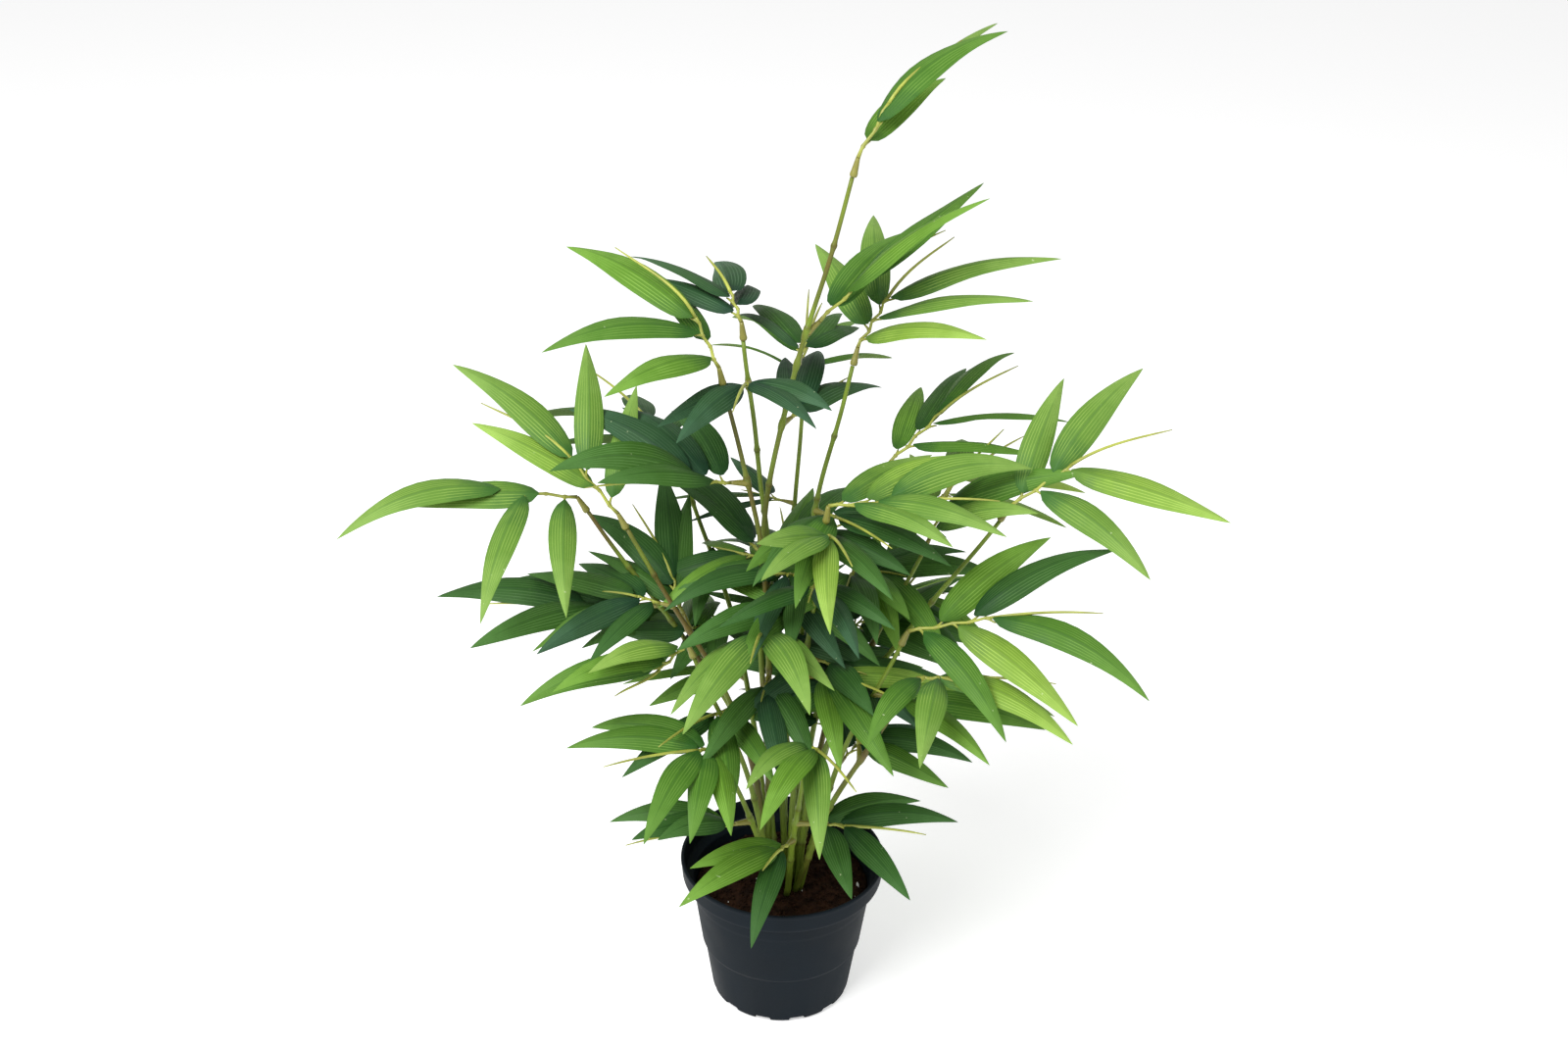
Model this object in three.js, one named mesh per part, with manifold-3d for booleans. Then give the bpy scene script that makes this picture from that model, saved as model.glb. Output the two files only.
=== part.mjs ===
// Potted bamboo: an artificial cane plant in a nursery pot.
// A bundle of thin plastic-coated canes rises from peat-brown filling and fans outward.
// Every cane ends in a plug-on spray of long leaves, and carries more sprays on its side.
// Millimetres, +Z up, origin at the middle of the pot's flat underside, +X to the plant's
// right, -Y towards its front.

import * as THREE from "three";
import { mergeVertices } from "three/addons/utils/BufferGeometryUtils.js";
import Module from "manifold-3d";

const wasm = await Module();
wasm.setup();

const DEG = Math.PI / 180;
const UP = new THREE.Vector3(0, 0, 1);

// ---------------------------------------------------------------- driving sizes

const GAP = 0.35; // clearance between neighbouring pieces
const TOLERANCE = 0.1; // how far a facet may move to do away with a sliver

const POT = {
  height: 100,
  rimRadius: 65,
  rimLowerRadius: 63.6,
  rimBand: 13.5, // height of the thick band at the mouth
  shoulderRadius: 58, // body just under the band
  ledgeHeight: 38, // small inward step round the body
  ledgeDepth: 1.6,
  ledgeHalf: 0.8, // half of the height that the step takes
  footRadius: 44.5,
  cornerRadius: 3,
  wall: 1.6,
  bandExtra: 0.6, // how much thicker the band is than the wall
  lipHeight: 1.2, // bevel round the top of the band
  lipDepth: 0.8,
  floor: 7, // above the notches, so that they stay closed to the inside
  sides: 24,
  notches: 12, // drainage notches round the bottom edge
  notchWidth: 11,
  notchHeight: 4,
  notchDepth: 9,
  notchBelow: 0.5, // how far a notch's cutter reaches below the underside
};

const SOIL = {
  level: 82,
  edgeDrop: 2.5,
  crown: 34,
  footRadius: 40.5,
  facetRoom: 0.6, // room for the flats of the pot's faceted wall
  sides: 12,
};

const CANE = { footRadius: 2.1, tipRadius: 1.2, sides: 4, segments: 5 };

const STEEP = 0.8; // a limb that rises more than this share of its length is upright

const SPRAY = {
  collarRadius: 2.1,
  collarLength: 11,
  stalkRadius: 1.15,
  neck: 1.5, // slope from the collar down to the stalk
  spikeLength: 62,
  spikeRise: 0.5, // rise of the end spike, as a share of its stalk's
  spikeTip: 0.5,
  sides: 3,
};

const LEAF = {
  width: 22.5,
  ridge: 2.6, // height of the midrib over the edges
  ridgeEnds: 0.45, // the ridge's least share of that height, where the blade runs to a point
  sections: [[0.07, 0.11], [0.3, 1], [0.66, 0.72]], // [share of the length, share of the width]
  arch: 0.085, // droop of a level leaf, as a share of its length
  turnOut: 0.7, // how much a leaf's face turns to the front or the back, whichever is nearer
  levelStarts: 400, // leaves above this height begin to lie level instead
  levelEnds: 470,
  backStarts: 15, // leaves behind this depth begin to turn to the back
  backEnds: 95,
  wobble: 0.35, // chance turn of a leaf's face
  roomEnds: 14, // a leaf's room reaches past its thin ends and edges by this many gaps
  roomSides: 6,
};

// The leaves of a spray stand off by turns, first on one side and then on the other.
const FAN = {
  closing: 0.5, // how far the fan has closed at its last leaf, as a share of its spread
  shortest: 0.82, // the first leaf's length, as a share of the last one's
};

// Canes: foot [x, y] on the soil, a point half-way up, the tip, and the sprays on the cane.
// A spray: place along the cane (1 is its tip), its stalk [heading, rise, length] with the
// length of its spike where that is trimmed, and its fan [leaves, heading, rise, spread, tilt,
// length of the last leaf]. Headings turn from +X towards +Y. Tilt lifts one side of the fan
// over the other, and a spread below 0 puts the first leaf on the other side.
const CANES = {
  tall: {
    foot: [-5, -6], middle: [-13, 5, 345], tip: [33, 30, 540],
    sprays: [
      [1, [42, 50, 46], [3, 42, 20, 14, -8, 108]],
      [0.8, [38, 30, 50], [3, 28, 26, 30, -12, 110]],
      [0.76, [80, 5, 24], [4, 90, -8, 30, 4, 96]],
      [0.68, [60, 0, 20], [3, 70, -4, 24, 6, 96]],
      [0.5, [40, 0, 20], [3, 52, -4, 22, 8, 90]],
    ],
  },
  second: {
    foot: [3, -3], middle: [-10, 8, 300], tip: [-27, 18, 446],
    sprays: [
      [1, [120, 45, 30, 32], [4, 115, -4, 34, 10, 92]],
      [0.93, [-95, 20, 20], [4, -92, -4, 55, 4, 74]],
      [0.62, [125, 10, 20], [3, 118, 0, 15, 10, 94]],
    ],
  },
  inner: {
    foot: [9, -3], middle: [14, 18, 320], tip: [37, 45, 420],
    sprays: [
      [1, [45, 45, 46], [5, 42, 14, -78, 0, 106]],
      [0.74, [-60, 15, 24], [4, -75, -8, 60, 4, 88]],
    ],
  },
  left_inner: {
    foot: [-9, -8], middle: [-15, -6, 320], tip: [-38, -5, 428],
    sprays: [
      [1, [150, 60, 42], [4, 170, 8, 58, -6, 104]],
      [0.82, [-160, 10, 36], [5, 170, 12, -55, -4, 98]],
      [0.53, [-95, 30, 44], [4, -98, -8, 40, 8, 92]],
    ],
  },
  left_middle: {
    foot: [-11, -12], middle: [-24, -12, 195], tip: [-94, -10, 338],
    sprays: [
      [1, [158, 45, 54], [4, 128, 32, -50, 8, 94]],
      [0.72, [118, 45, 34], [4, 115, 22, 34, -8, 86]],
      [0.5, [-120, 20, 22], [3, -105, -12, 45, 0, 82]],
    ],
  },
  left_far: {
    foot: [-6, 0], middle: [-28, 2, 195], tip: [-119, 15, 336],
    sprays: [
      [1, [-176, 6, 58, 40], [4, -135, -16, 50, -14, 102]],
      [0.745, [178, -3, 46], [4, -170, -2, 38, 2, 96]],
    ],
  },
  left_front: {
    foot: [-7, -16], middle: [-20, -26, 170], tip: [-54, -38, 268],
    sprays: [
      [1, [-150, -35, 34, 30], [4, -150, 0, 14, 9, 86]],
    ],
  },
  centre: {
    foot: [4, -9], middle: [10, -12, 230], tip: [22, -14, 346],
    sprays: [
      [1, [-8, 10, 48], [5, -5, 4, 44, 4, 90]],
      [0.97, [-80, 25, 22], [3, -108, -6, -24, 22, 78]],
      [0.6, [-50, 25, 26], [4, -35, -12, 55, 6, 84]],
    ],
  },
  right_far: {
    foot: [9, -8], middle: [26, -10, 190], tip: [124, 0, 342],
    sprays: [
      [1, [10, 35, 54], [4, 6, 8, 58, 32, 100]],
    ],
  },
  right_middle: {
    foot: [11, -13], middle: [34, -26, 190], tip: [67, -40, 280],
    sprays: [
      [1, [-8, 16, 62], [5, -6, 0, -46, -26, 104]],
    ],
  },
  right_inner: {
    foot: [7, 0], middle: [34, 4, 205], tip: [80, 12, 312],
    sprays: [
      [1, [45, 62, 34], [3, 5, 20, -36, 4, 90]],
      [0.72, [60, 30, 18], [3, 65, 20, 28, 20, 80]],
    ],
  },
  right_back: {
    foot: [6, 4], middle: [26, 26, 230], tip: [58, 46, 345],
    sprays: [
      [1, [35, 32, 56], [5, 32, 4, 44, 6, 92]],
    ],
  },
  right_front: {
    foot: [8, -15], middle: [30, -36, 165], tip: [72, -52, 256],
    sprays: [
      [1, [-15, 12, 30], [4, -62, -10, -58, 2, 84]],
      [0.68, [95, 15, 16], [4, 18, 4, 55, 20, 70]],
    ],
  },
  left_low: {
    foot: [-5, -18], middle: [-16, -34, 140], tip: [-36, -56, 208],
    sprays: [
      [1, [-150, 15, 24], [5, -140, -4, 60, -8, 84]],
      [0.55, [-160, 0, 18], [4, -168, 4, 28, 9, 70]],
    ],
  },
  front_low: {
    foot: [3, -19], middle: [8, -34, 150], tip: [13, -50, 208],
    sprays: [
      [1, [-70, 20, 28], [3, -102, -10, -20, 16, 84]],
      [0.4, [-110, 20, 26, 30], [3, -125, -10, -26, 14, 80]],
      [0.52, [-15, 8, 32, 50], [4, -35, 0, 52, 4, 80]],
    ],
  },
  back_middle: {
    foot: [1, 8], middle: [2, 60, 250], tip: [8, 112, 366],
    sprays: [
      [1, [88, 25, 46], [4, 88, -8, 50, 6, 100]],
      [0.66, [95, -5, 30], [3, 90, -20, 42, 4, 96]],
    ],
  },
  back_left: {
    foot: [-6, 6], middle: [-30, 48, 230], tip: [-68, 92, 330],
    sprays: [
      [1, [130, 20, 46], [4, 128, -12, 52, 8, 100]],
      [0.6, [135, 0, 34], [3, 133, -20, 40, 2, 96]],
    ],
  },
  back_right: {
    foot: [9, 6], middle: [36, 50, 205], tip: [84, 92, 292],
    sprays: [
      [1, [45, 18, 46], [4, 48, -12, 50, 8, 100]],
      [0.58, [55, 0, 30], [3, 60, -22, 40, 2, 94]],
    ],
  },
};

const COLOURS = {
  pot: { color: 0x26303a, roughness: 0.55, metalness: 0 },
  soil: { color: 0x3a251d, roughness: 1, metalness: 0 },
  cane: { color: 0x6f7a2c, roughness: 0.5, metalness: 0 },
  leaves: { color: 0x3f7a34, roughness: 0.6, metalness: 0 },
};

// ---------------------------------------------------------------- helpers

function heading(turn, rise) {
  return new THREE.Vector3(
    Math.cos(turn * DEG) * Math.cos(rise * DEG),
    Math.sin(turn * DEG) * Math.cos(rise * DEG),
    Math.sin(rise * DEG),
  );
}

// A repeatable chance value between -1 and 1.
function chance(seed) {
  const s = Math.sin(seed * 12.9898) * 43758.5453;
  return (s - Math.floor(s)) * 2 - 1;
}

function across(direction, reference) {
  return reference.clone().addScaledVector(direction, -reference.dot(direction)).normalize();
}

// A closed three.js geometry as a solid that can be joined and cut.
function solid(geometry) {
  const bare = geometry.clone();
  bare.deleteAttribute("normal");
  bare.deleteAttribute("uv");
  const merged = mergeVertices(bare, 1e-4);
  return new wasm.Manifold(new wasm.Mesh({
    numProp: 3,
    vertProperties: new Float32Array(merged.attributes.position.array),
    triVerts: new Uint32Array(merged.index.array),
  }));
}

// The biggest part of a shape, without slivers finer than the tolerance.
function largest(shape) {
  const pieces = shape.decompose();
  const best = pieces.reduce((found, piece) => (piece.volume() > found.volume() ? piece : found));
  return best.simplify(TOLERANCE);
}

function toMesh(name, shape, look) {
  const { vertProperties, triVerts } = shape.getMesh();
  const geometry = new THREE.BufferGeometry();
  geometry.setAttribute("position", new THREE.BufferAttribute(new Float32Array(vertProperties), 3));
  geometry.setIndex(new THREE.BufferAttribute(new Uint32Array(triVerts), 1));
  geometry.computeVertexNormals();
  const mesh = new THREE.Mesh(geometry, new THREE.MeshStandardMaterial(look));
  mesh.name = name;
  return mesh;
}

// ---------------------------------------------------------------- round limbs

// A closed round limb through points, with its own radius at each: a cylinder bent onto them.
function limb(points, radii, sides) {
  const last = points.length - 1;
  const geometry = new THREE.CylinderGeometry(1, 1, 1, sides, last);
  const places = geometry.attributes.position;
  const along = points[last].clone().sub(points[0]).normalize();
  const reference = Math.abs(along.z) > STEEP ? new THREE.Vector3(1, 0, 0) : UP;
  for (let i = 0; i < places.count; i += 1) {
    const ring = Math.round((places.getY(i) + 0.5) * last);
    const before = points[Math.max(ring - 1, 0)];
    const after = points[Math.min(ring + 1, last)];
    const tangent = after.clone().sub(before).normalize();
    const side = across(tangent, reference);
    const other = new THREE.Vector3().crossVectors(tangent, side);
    const place = points[ring].clone();
    place.addScaledVector(side, places.getZ(i) * radii[ring]);
    place.addScaledVector(other, places.getX(i) * radii[ring]);
    places.setXYZ(i, place.x, place.y, place.z);
  }
  return solid(geometry);
}

function caneCurve({ foot, middle, tip }) {
  const ground = SOIL.level + GAP;
  return new THREE.CatmullRomCurve3([
    new THREE.Vector3(foot[0], foot[1], ground),
    new THREE.Vector3(...middle),
    new THREE.Vector3(...tip),
  ]);
}

// A cane tapers from its foot, which is cut level with the soil.
function cane(curve, extra) {
  const points = curve.getSpacedPoints(CANE.segments);
  const radii = points.map((_, i) => (
    THREE.MathUtils.lerp(CANE.footRadius, CANE.tipRadius, i / CANE.segments) + extra));
  return limb(points, radii, CANE.sides).trimByPlane([0, 0, 1], SOIL.level + GAP);
}

// ---------------------------------------------------------------- leaves and sprays

// A leaf is a thin blade, ridged along its midrib, arched under its own weight.
function leaf(base, [turn, rise, length], seed, extra) {
  const chord = heading(turn, rise);
  const lift = across(chord, UP);
  const depth = base.y + chord.y * length / 2;
  const toBack = THREE.MathUtils.smoothstep(depth, LEAF.backStarts, LEAF.backEnds);
  const height = base.z + chord.z * length / 2;
  const level = THREE.MathUtils.smoothstep(height, LEAF.levelStarts, LEAF.levelEnds);
  const turnOut = LEAF.turnOut * (1 - level);
  const facing = new THREE.Vector3(0, turnOut * (2 * toBack - 1), 1);
  facing.addScaledVector(new THREE.Vector3().crossVectors(chord, UP), LEAF.wobble * chance(seed));
  const face = across(chord, facing);
  const side = new THREE.Vector3().crossVectors(face, chord);
  const arch = LEAF.arch * length * Math.cos(rise * DEG);
  // A three-sided ball, drawn out along the leaf: one side is the midrib, two are the edges.
  const sections = [[0, 0], ...LEAF.sections, [1, 0]];
  const geometry = new THREE.SphereGeometry(1, 3, sections.length - 1);
  const places = geometry.attributes.position;
  for (let i = 0; i < places.count; i += 1) {
    const angle = Math.acos(THREE.MathUtils.clamp(places.getY(i), -1, 1));
    const [share, width] = sections[Math.round(angle / Math.PI * (sections.length - 1))];
    const past = width > 0 ? 0 : (2 * share - 1) * LEAF.roomEnds * extra / length;
    const t = share + past;
    const wing = Math.sign(Math.round(places.getZ(i) * 1e3));
    const half = width * LEAF.width / 2;
    const thick = LEAF.ridge * Math.min(1, LEAF.ridgeEnds + width) * (width > 0 ? 1 : 0);
    const place = base.clone().addScaledVector(chord, t * length);
    place.addScaledVector(lift, 4 * arch * t * (1 - t));
    if (width > 0) place.addScaledVector(side, wing * (half + LEAF.roomSides * extra));
    const off = wing === 0 ? thick / 2 + 2 * extra : -thick / 2 - extra;
    if (width > 0) place.addScaledVector(face, off);
    places.setXYZ(i, place.x, place.y, place.z);
  }
  return solid(geometry);
}

// The headings, rises and lengths of a fan's leaves, from the collar outward.
function fan([count, turn, rise, spread, tilt, size]) {
  return Array.from({ length: count }, (_, i) => {
    const step = i / (count - 1);
    const open = (i % 2 === 0 ? 1 : -1) * (1 - FAN.closing * step);
    const length = size * THREE.MathUtils.lerp(FAN.shortest, 1, step);
    return [turn + spread * open, rise + tilt * open, length];
  });
}

// A spray: collar, stalk with leaves by turns, and a thin spike on its end.
function spray(curve, [place, [turn, rise, length, spike], opening], seed, extra) {
  const ahead = heading(turn, rise);
  const lead = place === 1 ? curve.getTangentAt(place) : ahead;
  const start = curve.getPointAt(place).addScaledVector(lead, place === 1 ? GAP : 0);
  const elbow = start.clone().addScaledVector(lead, SPRAY.collarLength);
  const end = elbow.clone().addScaledVector(ahead, length - SPRAY.collarLength);
  const tip = end.clone();
  tip.addScaledVector(heading(turn, rise * SPRAY.spikeRise), (spike ?? SPRAY.spikeLength) + extra);
  const neck = elbow.clone().addScaledVector(ahead, SPRAY.neck);
  const { collarRadius, stalkRadius, spikeTip } = SPRAY;
  const radii = [collarRadius, collarRadius, stalkRadius, stalkRadius, spikeTip];
  const stem = limb([start, elbow, neck, end, tip], radii.map((r) => r + extra), SPRAY.sides);
  const blades = fan(opening).map((row, i, leaves) => {
    const node = neck.clone().lerp(end, (i + 0.5) / leaves.length);
    return leaf(node, row, seed + i, extra);
  });
  return wasm.Manifold.union([stem, ...blades]);
}

// ---------------------------------------------------------------- pot and soil

function bodyRadius(height) {
  const top = POT.height - POT.rimBand;
  const ledge = height < POT.ledgeHeight ? POT.ledgeDepth : 0;
  const share = (height - POT.notchHeight) / (top - POT.notchHeight);
  return THREE.MathUtils.lerp(POT.footRadius + POT.ledgeDepth, POT.shoulderRadius, share) - ledge;
}

function pot() {
  const band = POT.height - POT.rimBand;
  const { wall, floor, cornerRadius, footRadius } = POT;
  const [ledgeFoot, ledgeTop] = [POT.ledgeHeight - POT.ledgeHalf, POT.ledgeHeight + POT.ledgeHalf];
  const bandWall = wall + POT.bandExtra;
  const outline = [
    [0, 0],
    [footRadius - cornerRadius, 0],
    [footRadius, cornerRadius],
    [bodyRadius(ledgeFoot), ledgeFoot],
    [bodyRadius(ledgeTop), ledgeTop],
    [POT.shoulderRadius, band],
    [POT.rimLowerRadius, band],
    [POT.rimRadius, POT.height - POT.lipHeight],
    [POT.rimRadius - POT.lipDepth, POT.height],
    [POT.rimRadius - bandWall, POT.height],
    [POT.rimLowerRadius - bandWall, band + wall],
    [POT.shoulderRadius - wall, band - wall],
    [bodyRadius(ledgeFoot) - wall, ledgeFoot],
    [bodyRadius(floor) - wall, floor],
    [0, floor],
  ].map(([radius, height]) => new THREE.Vector2(radius, height));
  const shell = new THREE.LatheGeometry(outline, POT.sides);
  shell.rotateX(Math.PI / 2);
  let shape = solid(shell);
  for (let i = 0; i < POT.notches; i += 1) {
    const notch = new THREE.BoxGeometry(POT.notchDepth, POT.notchWidth, POT.notchHeight);
    notch.translate(POT.footRadius, 0, POT.notchHeight / 2 - POT.notchBelow);
    notch.rotateZ((i + 0.5) * 2 * Math.PI / POT.notches);
    shape = shape.subtract(solid(notch));
  }
  return shape;
}

// The filling: a straight taper inside the pot, whose top falls a little to the wall.
function soil() {
  const bottom = POT.floor + GAP;
  const topRadius = bodyRadius(SOIL.level) - POT.wall - GAP - SOIL.facetRoom;
  const outline = [
    [0, bottom],
    [SOIL.footRadius, bottom],
    [topRadius, SOIL.level - SOIL.edgeDrop],
    [SOIL.crown, SOIL.level],
    [0, SOIL.level],
  ].map(([radius, height]) => new THREE.Vector2(radius, height));
  const shape = new THREE.LatheGeometry(outline, SOIL.sides);
  shape.rotateX(Math.PI / 2);
  return solid(shape);
}

// ---------------------------------------------------------------- the plant

function plant() {
  const group = new THREE.Group();
  group.add(toMesh("pot", pot(), COLOURS.pot));
  group.add(toMesh("soil", soil(), COLOURS.soil));

  const canes = Object.entries(CANES).map(([name, row]) => {
    const curve = caneCurve(row);
    return { name, row, curve, shape: cane(curve, 0), room: cane(curve, GAP) };
  });
  // Canes that cross are kept apart: each is cut clear of those before it.
  canes.forEach((piece, i) => {
    for (const other of canes.slice(0, i)) piece.shape = piece.shape.subtract(other.room);
    group.add(toMesh(`cane_${piece.name}`, largest(piece.shape), COLOURS.cane));
  });

  const taken = canes.map((piece) => piece.room);
  let seed = 0;
  for (const { name, row, curve } of canes) {
    row.sprays.forEach((entry, i) => {
      seed += 10;
      let shape = spray(curve, entry, seed, 0);
      for (const other of taken) shape = shape.subtract(other);
      taken.push(spray(curve, entry, seed, GAP));
      group.add(toMesh(`leaves_${name}_${i + 1}`, largest(shape), COLOURS.leaves));
    });
  }
  return group;
}

export default plant();
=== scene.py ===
"""Potted bamboo: canes, sprays of leaves, nursery pot and filling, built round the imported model.

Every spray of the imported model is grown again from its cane, with the same collar, stalk and
leaf places, as plug-on twigs and folded fabric leaves. Lengths are metres unless a name ends
in _MM or _mm; the table of canes is in millimetres and degrees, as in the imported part's own source.
"""

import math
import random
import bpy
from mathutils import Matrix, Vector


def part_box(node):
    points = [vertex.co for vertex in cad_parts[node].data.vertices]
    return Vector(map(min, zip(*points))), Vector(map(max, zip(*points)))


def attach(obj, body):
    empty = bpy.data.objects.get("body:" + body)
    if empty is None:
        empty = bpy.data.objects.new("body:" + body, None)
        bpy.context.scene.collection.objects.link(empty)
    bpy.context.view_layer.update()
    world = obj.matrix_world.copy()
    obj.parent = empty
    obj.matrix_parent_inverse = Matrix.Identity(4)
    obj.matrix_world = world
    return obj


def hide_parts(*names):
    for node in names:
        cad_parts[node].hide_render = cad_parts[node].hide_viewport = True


bl_info = {
    "name": "Potted Bamboo",
    "version": (1, 0, 0),
    "blender": (4, 5, 0),
    "location": "View3D > Sidebar > Bamboo",
    "description": "Builds an artificial bamboo of canes and leaf sprays in its nursery pot",
    "category": "Add Mesh",
}

import bmesh
import bpy
import numpy as np
from mathutils import Euler, Matrix, Vector, noise

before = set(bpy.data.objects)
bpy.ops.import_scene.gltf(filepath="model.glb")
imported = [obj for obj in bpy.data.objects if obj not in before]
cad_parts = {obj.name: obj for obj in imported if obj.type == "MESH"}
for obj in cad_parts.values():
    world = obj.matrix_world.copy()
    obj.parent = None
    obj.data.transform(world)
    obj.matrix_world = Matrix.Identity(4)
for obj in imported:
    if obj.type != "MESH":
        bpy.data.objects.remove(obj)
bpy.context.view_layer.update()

MM = 0.001
UP = np.array((0.0, 0.0, 1.0))


def srgb(red, green, blue):
    """A colour given as 0 to 255 on a screen, as linear light."""
    shares = [value / 255 for value in (red, green, blue)]
    return tuple(s / 12.92 if s <= 0.04045 else ((s + 0.055) / 1.055) ** 2.4 for s in shares)


# ------------------------------------------------------------------ the plant's own table
# Canes: foot (x, y) on the filling, a point half-way up, the tip, and the sprays on the cane.
# A spray: shade of its leaves, place along the cane (1 is its tip), its stalk (heading, rise,
# length) with the length of its spike where that is trimmed, and its fan (leaves, heading, rise,
# spread, tilt, length of the last leaf). Headings turn from +X towards +Y. Tilt lifts one side of
# the fan over the other, and a spread below 0 puts the first leaf on the other side.
# The shades are partly the leaves' own greens and partly painted light and shade: deep and slate go
# mostly to sprays inside the crown, where shade falls, and fresh mostly to lit tips.
CANES = {
    "tall": {
        "foot": (-5, -6), "middle": (-13, 5, 345), "tip": (33, 30, 540),
        "sprays": [
            ("mid", 1, (42, 50, 46), (3, 42, 20, 14, -8, 108)),
            ("mid", 0.8, (38, 30, 50), (3, 28, 26, 30, -12, 110)),
            ("deep", 0.76, (80, 5, 24), (4, 90, -8, 30, 4, 96)),
            ("slate", 0.68, (60, 0, 20), (3, 70, -4, 24, 6, 96)),
            ("deep", 0.5, (40, 0, 20), (3, 52, -4, 22, 8, 90)),
        ],
    },
    "second": {
        "foot": (3, -3), "middle": (-10, 8, 300), "tip": (-27, 18, 446),
        "sprays": [
            ("slate", 1, (120, 45, 30, 32), (4, 115, -4, 34, 10, 92)),
            ("slate", 0.93, (-95, 20, 20), (4, -92, -4, 55, 4, 74)),
            ("deep", 0.62, (125, 10, 20), (3, 118, 0, 15, 10, 94)),
        ],
    },
    "inner": {
        "foot": (9, -3), "middle": (14, 18, 320), "tip": (37, 45, 420),
        "sprays": [
            ("fresh", 1, (45, 45, 46), (5, 42, 14, -78, 0, 106)),
            ("deep", 0.74, (-60, 15, 24), (4, -75, -8, 60, 4, 88)),
        ],
    },
    "left_inner": {
        "foot": (-9, -8), "middle": (-15, -6, 320), "tip": (-38, -5, 428),
        "sprays": [
            ("mid", 1, (150, 60, 42), (4, 170, 8, 58, -6, 104)),
            ("deep", 0.82, (-160, 10, 36), (5, 170, 12, -55, -4, 98)),
            ("fresh", 0.53, (-95, 30, 44), (4, -98, -8, 40, 8, 92)),
        ],
    },
    "left_middle": {
        "foot": (-11, -12), "middle": (-24, -12, 195), "tip": (-94, -10, 338),
        "sprays": [
            ("fresh", 1, (158, 45, 54), (4, 128, 32, -50, 8, 94)),
            ("deep", 0.72, (118, 45, 34), (4, 115, 22, 34, -8, 86)),
            ("mid", 0.5, (-120, 20, 22), (3, -105, -12, 45, 0, 82)),
        ],
    },
    "left_far": {
        "foot": (-6, 0), "middle": (-28, 2, 195), "tip": (-119, 15, 336),
        "sprays": [
            ("fresh", 1, (-176, 6, 58, 40), (4, -135, -16, 50, -14, 102)),
            ("deep", 0.745, (178, -3, 46), (4, -170, -2, 38, 2, 96)),
        ],
    },
    "left_front": {
        "foot": (-7, -16), "middle": (-20, -26, 170), "tip": (-54, -38, 268),
        "sprays": [
            ("mid", 1, (-150, -35, 34, 30), (4, -150, 0, 14, 9, 86)),
        ],
    },
    "centre": {
        "foot": (4, -9), "middle": (10, -12, 230), "tip": (22, -14, 346),
        "sprays": [
            ("fresh", 1, (-8, 10, 48), (5, -5, 4, 44, 4, 90)),
            ("fresh", 0.97, (-80, 25, 22), (3, -108, -6, -24, 22, 78)),
            ("mid", 0.6, (-50, 25, 26), (4, -35, -12, 55, 6, 84)),
        ],
    },
    "right_far": {
        "foot": (9, -8), "middle": (26, -10, 190), "tip": (124, 0, 342),
        "sprays": [
            ("fresh", 1, (10, 35, 54), (4, 6, 8, 58, 32, 100)),
        ],
    },
    "right_middle": {
        "foot": (11, -13), "middle": (34, -26, 190), "tip": (67, -40, 280),
        "sprays": [
            ("mid", 1, (-8, 16, 62), (5, -6, 0, -46, -26, 104)),
        ],
    },
    "right_inner": {
        "foot": (7, 0), "middle": (34, 4, 205), "tip": (80, 12, 312),
        "sprays": [
            ("mid", 1, (45, 62, 34), (3, 5, 20, -36, 4, 90)),
            ("deep", 0.72, (60, 30, 18), (3, 65, 20, 28, 20, 80)),
        ],
    },
    "right_back": {
        "foot": (6, 4), "middle": (26, 26, 230), "tip": (58, 46, 345),
        "sprays": [
            ("mid", 1, (35, 32, 56), (5, 32, 4, 44, 6, 92)),
        ],
    },
    "right_front": {
        "foot": (8, -15), "middle": (30, -36, 165), "tip": (72, -52, 256),
        "sprays": [
            ("fresh", 1, (-15, 12, 30), (4, -62, -10, -58, 2, 84)),
            ("deep", 0.68, (95, 15, 16), (4, 18, 4, 55, 20, 70)),
        ],
    },
    "left_low": {
        "foot": (-5, -18), "middle": (-16, -34, 140), "tip": (-36, -56, 208),
        "sprays": [
            ("mid", 1, (-150, 15, 24), (5, -140, -4, 60, -8, 84)),
            ("deep", 0.55, (-160, 0, 18), (4, -168, 4, 28, 9, 70)),
        ],
    },
    "front_low": {
        "foot": (3, -19), "middle": (8, -34, 150), "tip": (13, -50, 208),
        "sprays": [
            ("fresh", 1, (-70, 20, 28), (3, -102, -10, -20, 16, 84)),
            ("mid", 0.4, (-110, 20, 26, 30), (3, -125, -10, -26, 14, 80)),
            ("deep", 0.52, (-15, 8, 32, 50), (4, -35, 0, 52, 4, 80)),
        ],
    },
    "back_middle": {
        "foot": (1, 8), "middle": (2, 60, 250), "tip": (8, 112, 366),
        "sprays": [
            ("mid", 1, (88, 25, 46), (4, 88, -8, 50, 6, 100)),
            ("deep", 0.66, (95, -5, 30), (3, 90, -20, 42, 4, 96)),
        ],
    },
    "back_left": {
        "foot": (-6, 6), "middle": (-30, 48, 230), "tip": (-68, 92, 330),
        "sprays": [
            ("deep", 1, (130, 20, 46), (4, 128, -12, 52, 8, 100)),
            ("mid", 0.6, (135, 0, 34), (3, 133, -20, 40, 2, 96)),
        ],
    },
    "back_right": {
        "foot": (9, 6), "middle": (36, 50, 205), "tip": (84, 92, 292),
        "sprays": [
            ("mid", 1, (45, 18, 46), (4, 48, -12, 50, 8, 100)),
            ("deep", 0.58, (55, 0, 30), (3, 60, -22, 40, 2, 94)),
        ],
    },
}

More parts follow.
